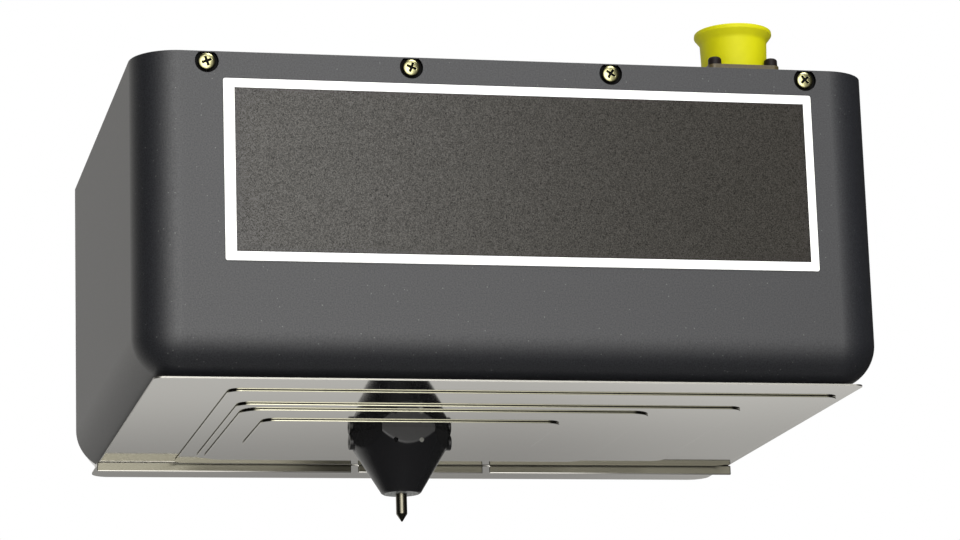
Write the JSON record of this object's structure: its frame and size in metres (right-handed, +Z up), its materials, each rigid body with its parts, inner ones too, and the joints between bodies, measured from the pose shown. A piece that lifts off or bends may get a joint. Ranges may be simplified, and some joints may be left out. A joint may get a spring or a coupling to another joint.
{
  "type": "nameplate marking machine",
  "caption": "Held-up scribing head that marks nameplates: dark tub-shaped cover over a two-axis stage, sliding stainless dust plates, black nose cone with a driven pointed pin.",
  "frame": {"origin": "centre of the four mounting holes, on the back face of the back plate", "axes": "+X to the right as seen from the front, along the longest side; +Y to the back, out of the mounting face; +Z up"},
  "size_m": [0.343, 0.2726, 0.2146],
  "materials": {
    "cover_paint": "satin, fine speckle",
    "panel_face": "matte, pale border",
    "machined_plate": "machined",
    "stainless": "fine brushed sheet",
    "zinc_screws": "yellow zinc plate",
    "black_screws": "black oxide",
    "steel_parts": "ground",
    "pin_steel": "polished",
    "black_nose": "semi-gloss black",
    "retainer_grey": "turned",
    "connector_olive": "olive plate",
    "insert_black": "moulded",
    "rubber_black": "moulded",
    "cap_yellow": "soft moulded",
    "nut_brass": "machined",
    "motor_black": "satin"
  },
  "bodies": {
    "base": {"cover": "cover_paint", "cover_screws": "zinc_screws", "front_panel": "panel_face", "top_plate": "machined_plate", "back_plate": "machined_plate", "frame_screws": "black_screws", "frame_gussets": "machined_plate", "bottom_pan": "stainless", "pan_studs": "steel_parts", "pan_nuts": "steel_parts", "stop_rail": "stainless", "connector_gasket": "rubber_black", "connector_shell": "connector_olive", "connector_insert": "insert_black", "connector_screws": "black_screws", "y_rails": "steel_parts", "y_bearing_block": "machined_plate", "y_bearing": "steel_parts", "y_motor_bracket": "machined_plate", "y_motor": "motor_black", "y_limit_switches": "insert_black"},
    "gantry": {"y_blocks": "steel_parts", "gantry_plate": "machined_plate", "y_nut_bracket": "machined_plate", "y_nut": "nut_brass", "x_rail": "steel_parts", "x_end_bracket": "machined_plate", "x_bearing": "steel_parts", "x_motor_bracket": "machined_plate", "x_motor": "motor_black", "x_limit_switches": "insert_black"},
    "carriage": {"x_block": "steel_parts", "carriage_plate": "machined_plate", "x_nut_bracket": "machined_plate", "x_nut": "nut_brass", "scribe_cylinder": "machined_plate", "spindle_neck": "steel_parts", "way_plate_4": "stainless", "nose_cone": "black_nose", "nose_screws": "black_screws", "vent_grub_screw": "steel_parts", "pin_retainer": "retainer_grey", "return_spring": "steel_parts"},
    "pin": {"scribing_pin": "pin_steel"},
    "way_three": {"way_plate_3": "stainless"},
    "way_two": {"way_plate_2": "stainless"},
    "way_one": {"way_plate_1": "stainless"},
    "y_drive": {"y_screw": "steel_parts", "y_coupling": "machined_plate"},
    "x_drive": {"x_screw": "steel_parts", "x_coupling": "machined_plate"},
    "cap": {"dust_cap": "cap_yellow"}
  },
  "joints": [
    {"name": "y_travel", "type": "slide", "parent": "base", "child": "gantry", "axis": [0, 1, 0], "range_m": [-0.03, 0.02]},
    {"name": "x_travel", "type": "slide", "parent": "gantry", "child": "carriage", "axis": [1, 0, 0], "range_m": [-0.043, 0.107]},
    {"name": "pin_stroke", "type": "slide", "parent": "carriage", "child": "pin", "axis": [0, 0, -1], "range_m": [0, 0.006], "stiffness_N_per_m": 500, "springref_m": -0.004, "deforming": ["return_spring"]},
    {"name": "way_three_slide", "type": "slide", "parent": "gantry", "child": "way_three", "axis": [1, 0, 0], "range_m": [-0.0259, 0.0643]},
    {"name": "way_two_slide", "type": "slide", "parent": "gantry", "child": "way_two", "axis": [1, 0, 0], "range_m": [-0.0108, 0.0268]},
    {"name": "way_one_slide", "type": "slide", "parent": "base", "child": "way_one", "axis": [1, 0, 0], "range_m": [-0.0009, 0.0022]},
    {"name": "y_screw_turn", "type": "hinge", "parent": "base", "child": "y_drive", "pos_m": [0.143, -0.14, 0.032], "axis": [0, 1, 0], "range_deg": [-902, 602]},
    {"name": "x_screw_turn", "type": "hinge", "parent": "gantry", "child": "x_drive", "pos_m": [0, -0.113, 0.006], "axis": [1, 0, 0], "range_deg": [-1292, 3212]},
    {"name": "cap_lift", "type": "slide", "parent": "base", "child": "cap", "axis": [0, 0, 1], "range_m": [0, 0.03]}
  ],
  "couplings": [
    {"joint": "way_three_slide", "follows": "x_travel", "ratio": 0.6},
    {"joint": "way_two_slide", "follows": "x_travel", "ratio": 0.25},
    {"joint": "way_one_slide", "follows": "x_travel", "ratio": 0.02},
    {"joint": "y_screw_turn", "follows": "y_travel", "rad_per_m": 523.6},
    {"joint": "x_screw_turn", "follows": "x_travel", "rad_per_m": 523.6}
  ]
}
